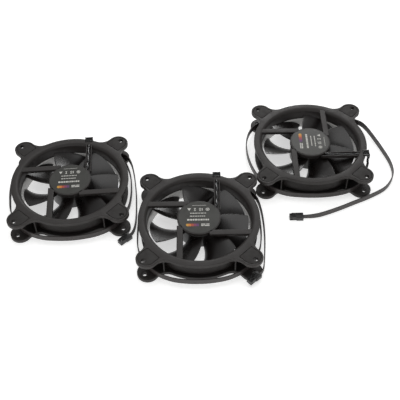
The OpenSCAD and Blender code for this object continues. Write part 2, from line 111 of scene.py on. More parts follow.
def linear(code):
    """An sRGB hex colour as the linear values that a shader takes."""
    parts = [int(code[i:i + 2], 16) / 255 for i in (0, 2, 4)]
    return [c / 12.92 if c <= 0.04045 else ((c + 0.055) / 1.055) ** 2.4 for c in parts] + [1.0]


def add(tree, kind, inputs=None, **settings):
    """Adds a node, with its settings, its values and the sockets linked to it."""
    made = tree.nodes.new(kind)
    for key, value in settings.items():
        setattr(made, key, value)
    for key, value in (inputs or {}).items():
        if isinstance(value, bpy.types.NodeSocket):
            tree.links.new(value, made.inputs[key])
        else:
            made.inputs[key].default_value = value
    return made


def finish_of(name, low, high, patch_mm, grain_mm, depth_mm, rough, metal=0.0, **shader):
    """A material with two close shades in soft patches, a fine grain in its relief and a
    roughness that wanders between two values."""
    material = bpy.data.materials.new(name)
    material.use_nodes = True
    tree = material.node_tree
    tree.nodes.clear()
    where = add(tree, "ShaderNodeTexCoord").outputs["Object"]
    patches = add(tree, "ShaderNodeTexNoise", {"Vector": where, "Scale": 1 / (patch_mm * MM),
                                               "Detail": 3.0, "Roughness": 0.6})
    tint = add(tree, "ShaderNodeMix", {"Factor": patches.outputs["Fac"], 6: linear(low),
                                       7: linear(high)}, data_type="RGBA")
    grain = add(tree, "ShaderNodeTexNoise", {"Vector": where, "Scale": 1 / (grain_mm * MM),
                                             "Detail": 2.0, "Roughness": 0.5})
    relief = add(tree, "ShaderNodeBump", {"Height": grain.outputs["Fac"], "Strength": 1.0,
                                          "Distance": depth_mm * MM})
    dull = add(tree, "ShaderNodeMapRange", {"Value": patches.outputs["Fac"], "From Min": 0.3,
                                            "From Max": 0.7, "To Min": rough[0], "To Max": rough[1]})
    surface = add(tree, "ShaderNodeBsdfPrincipled", {"Base Color": tint.outputs[2],
                                                     "Roughness": dull.outputs[0], "Metallic": metal,
                                                     "Normal": relief.outputs[0], **shader})
    add(tree, "ShaderNodeOutputMaterial", {"Surface": surface.outputs[0]})
    return material


def smooth_path(points, steps):
    """A Catmull-Rom curve through the points, with a number of steps between each two."""
    p = [np.array(q, float) for q in points]
    p = [2 * p[0] - p[1]] + p + [2 * p[-1] - p[-2]]
    path = []
    for a, b, c, d in zip(p, p[1:], p[2:], p[3:]):
        for t in np.arange(steps) / steps:
            path.append(0.5 * (2 * b + (c - a) * t + (2 * a - 5 * b + 4 * c - d) * t ** 2
                               + (3 * b - a - 3 * c + d) * t ** 3))
    return np.array(path + [p[-2]])


def swept(path, sections, upright=(0, 0, 1)):
    """Points and faces of a closed section carried along a path. A section's first number
    goes sideways and its second one up; each ring may have its own section."""
    ways = np.gradient(path, axis=0)
    ways /= np.linalg.norm(ways, axis=1)[:, None]
    points, faces = [], []
    for i, (p, way) in enumerate(zip(path, ways)):
        section = sections if np.ndim(sections) == 2 else sections[i]
        side = np.cross(way, upright)
        side /= np.linalg.norm(side)
        up = np.cross(side, way)
        points += [tuple(p + s * side + u * up) for s, u in section]
    n, rings = len(section), len(path)
    for i in range(rings - 1):
        faces += [(i * n + j, (i + 1) * n + j, (i + 1) * n + (j + 1) % n, i * n + (j + 1) % n)
                  for j in range(n)]
    faces += [tuple(range(n)), tuple(reversed(range((rings - 1) * n, rings * n)))]
    return points, faces


LEAD_W, LEAD_END_W, LEAD_TAPER, LEAD_T, LEAD_RIBS = 6.4, 4.4, 3, 1.2, 7
LEAD_ROUTES = {
    "left": [
        [22.5, 59.8, 12.6], [27, 58.2, 11.6], [28, 57.8, 11.3], [33, 55.8, 10], [42, 51, 8.2],
        [48, 47.5, 7.4], [53.5, 40, 7.4], [58.6, 28, 7.4], [61.4, 14, 7.4], [62, 0, 7.4],
        [61.4, -13, 7.4], [59, -27, 7.4], [54.5, -38, 7.4], [48, -47.5, 7.4], [39, -55, 7.4],
        [27, -60.5, 7.4], [13, -63.2, 7.4], [0, -64, 7.4], [-13, -63.2, 7.4], [-26, -61, 7.4],
        [-38, -56, 7.4], [-48, -48, 7.4], [-56, -37, 7.4], [-61, -24, 7.4], [-63, -10, 7.4],
        [-63.8, 4, 7.4], [-63, 18, 7.4], [-60.5, 31, 7.4], [-55.5, 41, 7.4],
        [-48.5, 48.5, 7.4], [-38, 55.5, 7.4], [-26, 60.3, 7.4], [-13, 62.2, 7.4], [0, 63, 7.4],
        [13, 63.2, 7.4], [26, 62.3, 7.4], [37, 59.4, 7.4], [45, 54.8, 7.4], [51, 49.2, 7.4],
        [58, 44, 7.4], [62.6, 33, 7.4], [65, 18, 7.4], [66.2, 3, 7.4], [66.8, -12, 7.4],
        [66.7, -26, 7.2], [66.2, -38, 6.2], [65.2, -47.5, 4.8], [63.6, -54.2, 3.6],
        [61.6, -58.4, 2.8], [59.2, -60.6, 2.3]],
    "middle": [
        [22.5, 59.8, 12.6], [27, 58.2, 11.6], [28, 57.8, 11.3], [33, 55.8, 10], [42, 51, 8.2],
        [48, 47.5, 7.4], [53.5, 40, 7.4], [58, 28, 7.4], [60.6, 14, 7.4], [61.2, 0, 7.4],
        [61, -12, 7.4], [59, -26, 7.4], [54.5, -38, 7.4], [48, -47.5, 7.4], [39, -55, 7.4],
        [27, -61, 7.4], [13, -64, 7.4], [0, -65, 7.4], [-13, -64.4, 7.4], [-26, -62, 7.4],
        [-38, -56.6, 7.4], [-48, -48, 7.4], [-55.5, -37, 7.4], [-59.6, -25, 7.4],
        [-60.8, -12, 7.4], [-60.8, 2, 7.4], [-60.4, 16, 7.4], [-58.8, 29, 7.4], [-55, 40, 7.4],
        [-48.5, 48.5, 7.4], [-38, 55.5, 7.4], [-26, 60.3, 7.4], [-13, 62.2, 7.4], [0, 63, 7.4],
        [13, 63.2, 7.4], [26, 62.3, 7.4], [37, 59.4, 7.4], [45, 54.8, 7.4], [50.6, 49.6, 7.4],
        [57, 43.5, 7.4], [61, 34, 7.4], [63.4, 20, 7.4], [64.4, 6, 7.4], [64.5, -9, 7.4],
        [63.9, -22, 7.4], [62.9, -34, 7.4], [62, -43, 7.2], [61.2, -49, 6.9],
        [59.4, -53.5, 6.6], [56.4, -56.3, 6.4]],
    "right": [
        [59.8, -22.5, 12.6], [58.2, -27, 11.6], [57.8, -28, 11.3], [56, -33, 10],
        [52, -41.5, 8.2], [47.5, -48, 7.4], [39, -54.5, 7.4], [27, -59, 7.4], [13, -61.4, 7.4],
        [0, -62, 7.4], [-13, -61.4, 7.4], [-27, -59.4, 7.4], [-38, -55, 7.4],
        [-47.5, -48.5, 7.4], [-55, -39, 7.4], [-61, -26, 7.4], [-65, -12, 7.4], [-67, 3, 7.4],
        [-66.6, 18, 7.4], [-63.4, 31, 7.4], [-57.4, 41.5, 7.4], [-48.5, 49, 7.4],
        [-38, 55.5, 7.4], [-26, 60.3, 7.4], [-13, 62.2, 7.4], [0, 62.8, 7.4], [13, 62.4, 7.4],
        [26, 60.6, 7.4], [38, 57.4, 7.4], [48.5, 54, 7.4], [57, 50, 7.4], [64, 45.5, 7.1],
        [69.5, 38.5, 5.7], [76.5, 23, 4], [82.4, 6, 3.4], [86.5, -9, 3.3], [87.8, -21.5, 3.3],
        [86.4, -31.5, 3.3], [82, -41, 3.3], [73.5, -51, 3.3], [57, -61, 3.3],
        [41.5, -68.3, 3.3], [28.5, -74.5, 3.3], [16, -80, 3.3], [4, -84.4, 3.2],
        [-4, -85.8, 2.8], [-9, -86, 2.4], [-14, -86, 2.3]]}

# PVC ribbon jacket, extruded: even, slightly waxy and a little dusty in its grooves.
lead_pvc = finish_of("extruded_pvc_ribbon", "2b2726", "363130", 9, 0.8, 0.02, (0.3, 0.42),
                     **{"Specular IOR Level": 0.5})


def ribbed_section(width):
    """One side of the ribbon up and the other one down, a round rib over each conductor."""
    rib, steps = width / LEAD_RIBS, 5
    web, crown = 0.25 * LEAD_T, LEAD_T / 2
    rise = [(-width / 2 + rib * (k + (j + 0.5) / steps),
             web + (crown - web) * math.sqrt(max(0.0, 1 - (2 * (j + 0.5) / steps - 1) ** 2)))
            for k in range(LEAD_RIBS) for j in range(steps)]
    return [(h, u) for u, h in rise] + [(-h, u) for u, h in reversed(rise)]


lead_paths = {}
for fan in FANS:
    place = in_place(fan)
    steps = 4
    path = smooth_path(LEAD_ROUTES[fan], steps)
    lead_paths[fan] = path
    narrow = [max(0, 1 - (len(path) - 1 - i) / steps / LEAD_TAPER) for i in range(len(path))]
    sections = [ribbed_section(LEAD_W - (LEAD_W - LEAD_END_W) * n) for n in narrow]
    ribbon = piece(fan + "_ribbon", *swept(path, sections), lead_pvc, place, sharp=60)
    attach(ribbon, fan + "_fan")
    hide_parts(fan + "_lead")
    if fan == "right":
        route = [place @ (Vector(p) * MM) for p in path]
        run = sum((b - a).length for a, b in zip(route, route[1:]))
        free_lead = (ribbon, route, run)


# --- Plugs --------------------------------------------------------------------------------
# A four-way socket housing of moulded black nylon ends each lead. It has a wider rear half,
# two guide ribs, a small window over each contact's latch and four mouths at its front.

PLUG_L, PLUG_W, PLUG_H, PLUG_RIB, PLUG_STEP = 14.0, 7.5, 5.0, 0.8, 0.7
PLUG_WAYS, PLUG_PITCH = 4, 1.7
PLUG_AIM = {"left": 220, "middle": 222, "right": 180}
PLUG_Z = {"left": 0.0, "middle": 4.1, "right": 0.0}


def block(low, high, bevel=0.0, segments=2):
    """A box between two corners, in a bmesh, with its edges rounded."""
    shape = bmesh.new()
    bmesh.ops.create_cube(shape, size=1)
    size = [h - l for l, h in zip(low, high)]
    for v in shape.verts:
        v.co = Vector([l + (c + 0.5) * s for l, c, s in zip(low, v.co, size)])
    if bevel:
        bmesh.ops.bevel(shape, geom=shape.edges[:], offset=bevel, segments=segments, profile=0.6,
                        affect="EDGES")
    return shape


def joined(shapes):
    """Points and faces of several bmeshes as one list each."""
    points, faces = [], []
    for shape in shapes:
        start = len(points)
        shape.verts.index_update()
        points += [tuple(v.co) for v in shape.verts]
        faces += [tuple(start + v.index for v in f.verts) for f in shape.faces]
        shape.free()
    return points, faces


def cut(body, tools):
    """Takes the tools' shapes out of a piece and leaves a plain mesh."""
    for tool in tools:
        step = body.modifiers.new("cut", "BOOLEAN")
        step.operation, step.solver, step.object = "DIFFERENCE", "EXACT", tool
    seen = body.evaluated_get(bpy.context.evaluated_depsgraph_get())
    mesh = bpy.data.meshes.new_from_object(seen)
    body.modifiers.clear()
    body.data = mesh
    for tool in tools:
        bpy.data.objects.remove(tool)


# Nylon, injection moulded: dark, dry and finely pitted.
plug_nylon = finish_of("moulded_nylon_housing", "1d1d1d", "272626", 5, 0.6, 0.02, (0.3, 0.42))

for fan in FANS:
    end = lead_paths[fan][-1]
    place = (in_place(fan) @ Matrix.Translation((end[0] * MM, end[1] * MM, PLUG_Z[fan] * MM))
             @ Matrix.Rotation(math.radians(PLUG_AIM[fan]), 4, "Z"))
    half, roof = PLUG_W / 2, PLUG_H - PLUG_RIB
    housing = block((0, PLUG_STEP - half, 0), (PLUG_L, half - PLUG_STEP, roof), 0.35)
    ribs = [block((2, y, roof - 0.3), (PLUG_L - 2, y + PLUG_RIB, PLUG_H), 0.2)
            for y in (PLUG_RIB - half, half - 2 * PLUG_RIB)]
    rear = block((0.1, -half, 0.05), (PLUG_L / 2, half, roof + 0.05), 0.3)
    plug = piece(fan + "_housing", *joined([housing]), plug_nylon, place)
    tools = []
    for way in range(PLUG_WAYS):
        y = (way - (PLUG_WAYS - 1) / 2) * PLUG_PITCH
        window = block((8.2, y - 0.45, 3.2), (10.8, y + 0.45, PLUG_H + 1))
        mouth = block((PLUG_L - 3, y - 0.5, 1.5), (PLUG_L + 1, y + 0.5, 2.7))
        tools += [piece("tool", *joined([tool]), plug_nylon, place) for tool in (window, mouth)]
    cut(plug, tools)
    guides = piece(fan + "_guide_ribs", *joined([*ribs, rear]), plug_nylon, place)
    for part in (plug, guides):
        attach(part, fan + "_fan")
        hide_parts(fan + "_plug")
    if fan == "right":
        ribbon, route, run = free_lead


# --- Lead sleeves -------------------------------------------------------------------------
# A short piece of shrink tube covers the place where the motor wires enter the flat lead.
# It is oval at the wires and flattens onto the ribbon.

SLEEVE_L = 13

# Cross-linked polyolefin, shrunk on with heat: black and smooth, with a soft shine.
shrink_tube = finish_of("polyolefin_shrink_tube", "101010", "171616", 4, 0.5, 0.02, (0.3, 0.42))

for fan in FANS:
    path = smooth_path(LEAD_ROUTES[fan][:5], 8)
    far = np.concatenate([[0], np.cumsum(np.linalg.norm(np.diff(path, axis=0), axis=1))])
    path = path[far < SLEEVE_L]
    rings = []
    for s in np.linspace(0, 1, len(path)):
        tall, wide = 3.3 + 0.15 * s, 1.35 - 0.5 * s
        if s == 0:
            tall, wide = tall - 0.25, wide - 0.25
        rings.append([(wide * math.copysign(abs(math.cos(a)) ** 0.6, math.cos(a)),
                       tall * math.copysign(abs(math.sin(a)) ** 0.6, math.sin(a)))
                      for a in np.linspace(0, 2 * math.pi, 24, endpoint=False)])
    sleeve = piece(fan + "_sleeve", *swept(path, rings), shrink_tube, in_place(fan), sharp=50)
    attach(sleeve, fan + "_fan")


# --- Fan frames ---------------------------------------------------------------------------
# Each frame is one moulding in black glass-filled plastic: two flanges with four round
# corner lobes, a duct between them, eight thin ribs, four struts set like a pinwheel and
# the round motor seat. One strut is an open channel for the motor wires.

FAN_T, FLANGE_T, RING_R, FRONT_R, BORE_R, DUCT_R = 25.0, 4.0, 60.0, 58.0, 51.5, 54.2
LOBE_C, LOBE_R, VALLEY_R, HOLE_C, HOLE_R = 49.5, 10.5, 12.0, 52.5, 2.15
PAD_R, PAD_L, PAD_T, PAD_GROOVE = 8.3, 8.5, 1.2, 0.35
SEAT_R, SEAT_Z, SEAT_TOP = 21.5, 21.5, 24.5
STRUT_X, STRUT_W, STRUT_Z = 18.6, 6.2, 20.9
CHANNEL_W, CHANNEL_Z = 4.2, 21.5
STRUT_IN, STRUT_OUT = 10.2, 54.5
RIB_X, RIB_T, RIB_IN, RIB_OUT = 34, 1.4, 41.3, 50.3
LEAD_SIDE = {"left": 0, "middle": 0, "right": -90}


def arc(centre, radius, start, stop, count):
    """Points on an arc between two angles in degrees."""
    return [(centre[0] + radius * math.cos(t), centre[1] + radius * math.sin(t))
            for t in np.linspace(math.radians(start), math.radians(stop), count + 1)]


def flange_outline(radius):
    """Ring, four lobes and the hollows between them, anticlockwise."""
    far = LOBE_C * math.sqrt(2)
    reach = radius + VALLEY_R
    a = math.degrees(math.acos((far ** 2 + reach ** 2 - (LOBE_R + VALLEY_R) ** 2) / (2 * far * reach)))
    p = [(reach * math.cos(math.radians(t)), reach * math.sin(math.radians(t)))
         for t in (45 - a, 45 + a)]
    c = (LOBE_C, LOBE_C)
    t1, t2 = (math.degrees(math.atan2(q[1] - c[1], q[0] - c[0])) for q in p)
    run = (arc((0, 0), radius, a - 45, 45 - a, 26)[:-1]
           + arc(p[0], VALLEY_R, 225 - a, t1 + 180, 10)[:-1]
           + arc(c, LOBE_R, t1, t2, 30)[:-1]
           + arc(p[1], VALLEY_R, t2 - 180, a - 135, 10)[:-1])
    return [(x * math.cos(q) - y * math.sin(q), x * math.sin(q) + y * math.cos(q))
            for q in np.arange(4) * math.pi / 2 for x, y in run]


def pad_outline(radius, corner):
    """A pad's outline: round at the corner, straight towards the fan's centre."""
    length = PAD_L + radius - PAD_R
    shape = arc((0, 0), radius, -90, 90, 24) + arc((-length + 1, radius - 1), 1, 90, 180, 4) \
        + arc((-length + 1, 1 - radius), 1, 180, 270, 4)
    q = math.radians(45 + 90 * corner)
    c = (LOBE_C * math.sqrt(2) * math.cos(q), LOBE_C * math.sqrt(2) * math.sin(q))
    return [(c[0] + x * math.cos(q) - y * math.sin(q), c[1] + x * math.sin(q) + y * math.cos(q))
            for x, y in shape]


def hole_outline(radius, corner):
    """A screw hole's circle."""
    q = math.radians(45 + 90 * corner)
    c = (HOLE_C * math.sqrt(2) * math.cos(q), HOLE_C * math.sqrt(2) * math.sin(q))
    return arc(c, radius, 0, 360, 32)[:-1]


def inset(loop, d):
    """The loop moved into the material, which lies on its left, by d."""
    p = np.array(loop)
    before, after = p - np.roll(p, 1, 0), np.roll(p, -1, 0) - p
    n = [np.stack([-e[:, 1], e[:, 0]], 1) / np.linalg.norm(e, axis=1)[:, None]
         for e in (before, after)]
    m = n[0] + n[1]
    m /= np.linalg.norm(m, axis=1)[:, None]
    return p + d * m / np.maximum(0.5, (m * n[0]).sum(1))[:, None]


def wall(shape, loop, rows):
    """A wall round a loop. Each row is how far in it lies and its height."""
    rings = [[shape.verts.new((x, y, z)) for x, y in inset(loop, d)] for d, z in rows]
    for low, high in zip(rings, rings[1:]):
        for j in range(len(low)):
            k = (j + 1) % len(low)
            shape.faces.new((low[j], low[k], high[k], high[j]))
    return rings[0], rings[-1]


def fill(shape, rings):
    """A flat face between an outer ring of points and the rings of its holes."""
    edges = [shape.edges.get((r[j], r[j - 1])) for r in rings for j in range(len(r))]
    bmesh.ops.triangle_fill(shape, use_beauty=True, use_dissolve=False, edges=edges)


def rounded(low, high, r_low, r_high):
    """Rows of a wall with a rounded foot and a rounded top."""
    q = [0.0, 0.13, 0.5, 1.0]
    foot = [(r_low * (1 - math.sqrt(1 - (1 - t) ** 2)) if t < 1 else 0.0, low + r_low * t) for t in q]
    top = [(r_high * (1 - math.sqrt(1 - (1 - t) ** 2)) if t < 1 else 0.0, high - r_high * t)
           for t in reversed(q)]
    return foot + top


def flange(low, high, radius, bore_rows, pads_up):
    """One flange plate with its bore, screw holes and the four shallow pad pockets."""
    shape = bmesh.new()
    outer = wall(shape, flange_outline(radius), rounded(low, high, 0.5, 0.5))
    bore = wall(shape, list(reversed(arc((0, 0), BORE_R, 0, 360, 144)[:-1])), bore_rows)
    flat = [[outer[0], bore[0]], [outer[1], bore[1]]]
    for corner in range(4):
        pocket = list(reversed(pad_outline(PAD_R + PAD_GROOVE, corner)))
        hole = list(reversed(hole_outline(HOLE_R, corner)))
        if pads_up:
            rows = [(0, high - PAD_T), (0, high - 0.25), (0.06, high - 0.08), (0.25, high)]
            p = wall(shape, pocket, rows)
            h = wall(shape, hole, [(0.3, low), (0, low + 0.3), (0, high - PAD_T)])
            fill(shape, [p[0], h[1]])
            flat[1].append(p[1])
            flat[0].append(h[0])
        else:
            rows = [(0.25, low), (0.06, low + 0.08), (0, low + 0.25), (0, low + PAD_T)]
            p = wall(shape, pocket, rows)
            h = wall(shape, hole, [(0, low + PAD_T), (0, high - 0.3), (0.3, high)])
            fill(shape, [p[1], h[0]])
            flat[0].append(p[0])
            flat[1].append(h[1])
    for rings in flat:
        fill(shape, rings)
    return shape


def lathe(profile, count=144):
    """Points and faces of a closed profile turned round the fan's axis."""
    points, faces, n = [], [], len(profile)
    for i in range(count):
        a = 2 * math.pi * i / count
        points += [(r * math.cos(a), r * math.sin(a), z) for r, z in profile]
        faces += [(i * n + j, ((i + 1) % count) * n + j, ((i + 1) % count) * n + (j + 1) % n,
                   i * n + (j + 1) % n) for j in range(n)]
    return points, faces


def lathe_shape(profile, count=144):
    """The same as a bmesh, with the points on the axis joined to one."""
    shape = bmesh.new()
    points, faces = lathe(profile, count)
    verts = [shape.verts.new(p) for p in points]
    for f in faces:
        shape.faces.new([verts[i] for i in f])
    bmesh.ops.remove_doubles(shape, verts=shape.verts, dist=1e-4)
    return shape


def bar(outline, start, stop):
    """A bar along the fan's y axis, with its section's outline given in x and z."""
    shape = bmesh.new()
    rows = [[shape.verts.new((x, y, z)) for x, z in outline] for y in (start, stop)]
    for j in range(len(outline)):
        k = (j + 1) % len(outline)
        shape.faces.new((rows[0][j], rows[0][k], rows[1][k], rows[1][j]))
    shape.faces.new(rows[0])
    shape.faces.new(list(reversed(rows[1])))
    return shape


def soft_outline(corners, radius):
    """A polygon with each corner rounded."""
    out = []
    for i, c in enumerate(corners):
        c, a, b = np.array(c), np.array(corners[i - 1]), np.array(corners[(i + 1) % len(corners)])
        u, v = (a - c) / np.linalg.norm(a - c), (b - c) / np.linalg.norm(b - c)
        for t in (0, 0.25, 0.5, 0.75, 1):
            w = (1 - t) ** 2 * radius * u + t ** 2 * radius * v
            out.append(tuple(c + w))
    return out


# Glass-filled black plastic, moulded: dry, faintly uneven, with a fine spark-eroded grain.
# The real grain is about 0.1 mm, drawn at 0.5 mm so that it still shows.
fan_plastic = finish_of("moulded_glass_filled_plastic", "1b1715", "231e1c", 14, 0.5, 0.03,
                        (0.48, 0.62))

# How far each row of the bores lies outside the bore's radius, and its height.
back_bore = [(0, 21), (0, 21.8), (0.15, 22.4), (0.5, 23), (1.0, 23.6), (1.6, 24.15), (2.3, 24.6),
             (3.0, 24.9), (3.7, 25)]
front_bore = [(4.9, 0), (4.62, 0.08), (4.5, 0.3), (4.5, 1.2), (1.6, 1.2), (1.6, 4)]


def frame_shapes():
    """The frame's plates, duct, ribs, struts and seat, in a fan's own axes."""
    shapes = [flange(FAN_T - FLANGE_T, FAN_T, RING_R, back_bore, True),
              flange(0, FLANGE_T, FRONT_R, front_bore, False)]
    shapes.append(lathe_shape([(BORE_R, 21.2), (BORE_R, 12), (52.9, 12), (52.9, 3.5), (DUCT_R, 3.5),
                               (DUCT_R, 21.2)]))
    shapes.append(lathe_shape([(0, SEAT_Z), (SEAT_R - 0.3, SEAT_Z), (SEAT_R, SEAT_Z + 0.3),
                               (SEAT_R, SEAT_TOP - 0.45), (SEAT_R - 0.12, SEAT_TOP - 0.13),
                               (SEAT_R - 0.45, SEAT_TOP), (0, SEAT_TOP)], 96))
    half = STRUT_W / 2
    plain = soft_outline([(STRUT_X - half, STRUT_Z), (STRUT_X + half, STRUT_Z),
                          (STRUT_X + half, SEAT_TOP), (STRUT_X - half, SEAT_TOP)], 0.8)
    c = CHANNEL_W / 2
    trough = soft_outline([(STRUT_X - half, STRUT_Z), (STRUT_X + half, STRUT_Z),
                           (STRUT_X + half, SEAT_TOP), (STRUT_X + c, SEAT_TOP),
                           (STRUT_X + c, CHANNEL_Z), (STRUT_X - c, CHANNEL_Z),
                           (STRUT_X - c, SEAT_TOP), (STRUT_X - half, SEAT_TOP)], 0.3)
    for quarter in range(4):
        strut = bar(trough if quarter == 0 else plain, STRUT_IN, STRUT_OUT)
        bmesh.ops.rotate(strut, verts=strut.verts, cent=(0, 0, 0),
                         matrix=Matrix.Rotation(quarter * math.pi / 2, 3, "Z"))
        shapes.append(strut)
        for x in (-RIB_X, RIB_X):
            rib = block((x - RIB_T / 2, RIB_IN, FLANGE_T - 0.3),
                        (x + RIB_T / 2, RIB_OUT, FAN_T - FLANGE_T + 0.3), 0.15, 1)
            bmesh.ops.rotate(rib, verts=rib.verts, cent=(0, 0, 0),
                             matrix=Matrix.Rotation(quarter * math.pi / 2, 3, "Z"))
            shapes.append(rib)
    return shapes


for fan in FANS:
    place = in_place(fan, LEAD_SIDE[fan])
    shell = piece(fan + "_moulding", *joined(frame_shapes()), fan_plastic, place)
    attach(shell, fan + "_fan")
    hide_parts(fan + "_frame")


# --- Corner pads --------------------------------------------------------------------------
# Soft rubber pads lie in the pockets of the corner lobes on both faces, to keep the fan's
# hum out of what it is screwed to. Each has a turned-down edge and a hole for the screw.

# Silicone rubber, moulded: black and matt, and it holds a little dust.
pad_rubber = finish_of("moulded_silicone_rubber", "181513", "201c1a", 6, 0.6, 0.03, (0.6, 0.75))

for fan in FANS:
    place = in_place(fan, LEAD_SIDE[fan])
    for face, low in (("back", FAN_T - PAD_T + 0.05), ("front", 0.0)):
        shapes = []
        for corner in range(4):
            shape = bmesh.new()
            rim = wall(shape, pad_outline(PAD_R, corner), rounded(low, low + PAD_T - 0.05, 0.3, 0.3))
            hole = wall(shape, list(reversed(hole_outline(HOLE_R, corner))),
                        rounded(low, low + PAD_T - 0.05, 0.3, 0.3))
            fill(shape, [rim[0], hole[0]])
            fill(shape, [rim[1], hole[1]])
            shapes.append(shape)
        pads = piece(f"{fan}_{face}_rubbers", *joined(shapes), pad_rubber, place)
        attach(pads, fan + "_fan")
        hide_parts(f"{fan}_{face}_pads")


# --- Impellers ----------------------------------------------------------------------------
# Seven broad blades and the hub are one moulding in a smoother, darker plastic than the
# frame, with a satin polish. The blades lean back towards the tip and are thin at the edges.

HUB_R, HUB_Z, HUB_TOP, BLADES = 20.5, 3.0, 20.0, 7
BLADE_ROOT, BLADE_TIP, BLADE_LOW, BLADE_TOP, BLADE_T = 19.6, 49.0, 3.7, 18.9, 1.5
BLADE_TURN = {"left": 25, "middle": 22, "right": 3}
BLADE_BACK, BLADE_FRONT, BLADE_SPREAD, BLADE_BOW = -15, -48.5, -14, -31

# Unfilled black plastic from a polished mould: darker and shinier than the frame.
blade_plastic = finish_of("polished_blade_plastic", "100d0c", "161211", 22, 0.9, 0.004, (0.24, 0.34))


def blade_point(q, s):
    """The blade's middle surface: q runs from root to tip and s from its lower edge up."""
    back = BLADE_BACK * q
    front = BLADE_FRONT + BLADE_SPREAD * q * q
    a = math.radians(front + (back - front) * s + BLADE_BOW * s * (1 - s))
    r = BLADE_ROOT + (BLADE_TIP - BLADE_ROOT) * q
    return np.array((r * math.cos(a), r * math.sin(a), BLADE_LOW + (BLADE_TOP - BLADE_LOW) * s))


def blade_side(q, s, side):
    """A point on one of the blade's two faces, half its thickness from the middle."""
    e = 0.002
    n = np.cross(blade_point(q + e, s) - blade_point(q - e, s),
                 blade_point(q, s + e) - blade_point(q, s - e))
    n /= np.linalg.norm(n)
    half = BLADE_T / 2 * (0.12 + 0.88 * math.sqrt(max(0.0, 4 * s * (1 - s)) ** 0.8))
    p = blade_point(q, s) + side * half * n
    r = BLADE_ROOT + (BLADE_TIP - BLADE_ROOT) * q
    p[:2] *= r / math.hypot(p[0], p[1])
    return tuple(p)


def blade_mesh():
    """One blade as a closed skin: a loop round the section at each step from root to tip."""
    across_steps = [0.5 - 0.5 * math.cos(math.pi * k / 22) for k in range(23)]
    loops = [[blade_side(q, s, 1) for s in across_steps]
             + [blade_side(q, s, -1) for s in reversed(across_steps)]
             for q in np.linspace(0, 1, 19)]
    n = len(loops[0])
    faces = [(i * n + j, i * n + (j + 1) % n, (i + 1) * n + (j + 1) % n, (i + 1) * n + j)
             for i in range(len(loops) - 1) for j in range(n)]
    for base in (0, (len(loops) - 1) * n):
        faces += [(base + j, base + j + 1, base + n - 2 - j, base + n - 1 - j)
                  for j in range(n // 2 - 1)]
    return [p for loop in loops for p in loop], faces


def round_tree():
    """Copies a shape round the z axis a number of times and gives it its material."""
    tree = bpy.data.node_groups.new("copies_round_axis", "GeometryNodeTree")
    ports = {}
    for name, way, kind in (("Shape", "INPUT", "NodeSocketGeometry"),
                            ("Copies", "INPUT", "NodeSocketInt"),
                            ("Finish", "INPUT", "NodeSocketMaterial"),
                            ("Result", "OUTPUT", "NodeSocketGeometry")):
        ports[name] = tree.interface.new_socket(name, in_out=way, socket_type=kind).identifier
    given = add(tree, "NodeGroupInput")
    points = add(tree, "GeometryNodePoints", {"Count": given.outputs["Copies"]})
    index = add(tree, "GeometryNodeInputIndex")
    turns = add(tree, "ShaderNodeMath", {0: index.outputs[0], 1: given.outputs["Copies"]},
                operation="DIVIDE")
    angle = add(tree, "ShaderNodeMath", {0: turns.outputs[0], 1: 2 * math.pi}, operation="MULTIPLY")
    turned = add(tree, "ShaderNodeCombineXYZ", {"Z": angle.outputs[0]})
    copies = add(tree, "GeometryNodeInstanceOnPoints",
                 {"Points": points.outputs[0], "Instance": given.outputs["Shape"],
                  "Rotation": turned.outputs[0]})
    real = add(tree, "GeometryNodeRealizeInstances", {"Geometry": copies.outputs[0]})
    dressed = add(tree, "GeometryNodeSetMaterial",
                  {"Geometry": real.outputs[0], "Material": given.outputs["Finish"]})
    add(tree, "NodeGroupOutput", {"Result": dressed.outputs[0]})
    return tree, ports


copies_round, copies_ports = round_tree()


def copied_round(name, points, faces, count, material):
    """Points and faces, in millimetres, of a shape repeated round the fan's axis."""
    seed = piece(name, points, faces, material, Matrix())
    step = seed.modifiers.new("copies", "NODES")
    step.node_group = copies_round
    step[copies_ports["Copies"]] = count
    step[copies_ports["Finish"]] = material
    seen = seed.evaluated_get(bpy.context.evaluated_depsgraph_get())
    mesh = bpy.data.meshes.new_from_object(seen)
    seed.modifiers.clear()
    shape = bmesh.new()
    shape.from_mesh(mesh)
    bmesh.ops.scale(shape, vec=(1 / MM,) * 3, verts=shape.verts)
    bpy.data.objects.remove(seed)
    return shape


for fan in FANS:
    blades = copied_round(fan + "_blade", *blade_mesh(), BLADES, blade_plastic)
    hub = lathe_shape([(1.5, HUB_Z + 1), (1.5, 8), (3.4, 8), (3.4, 5), (18.9, 5), (18.9, HUB_TOP),
                       (HUB_R - 0.3, HUB_TOP), (HUB_R, HUB_TOP - 0.3), (HUB_R, HUB_Z + 1.2),
                       (HUB_R - 0.25, HUB_Z + 0.5), (HUB_R - 0.7, HUB_Z + 0.12), (HUB_R - 1.3, HUB_Z),
                       (0, HUB_Z), (0, HUB_Z + 1)], 120)
    wheel = piece(fan + "_fan_wheel", *joined([hub, blades]), blade_plastic,
                  in_place(fan, BLADE_TURN[fan]))
    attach(wheel, fan + "_rotor")
    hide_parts(fan + "_impeller")


# --- Light rings and strips -----------------------------------------------------------------
# A ring of milky acrylic lines the front half of the duct, with a lip over the front face.
# Behind it lies a flexible strip with twelve small lamps, unlit here.

# Diffusing acrylic, moulded: even, milky white with a smooth shine.
milky_acrylic = finish_of("milky_acrylic", "bcbbb9", "c6c5c3", 12, 1.2, 0.004, (0.2, 0.3),
                          IOR=1.49)
# White polyimide film: flat and slightly satin.
strip_film = finish_of("white_polyimide_strip", "c9ccc8", "d6d8d4", 8, 0.7, 0.01, (0.45, 0.55))

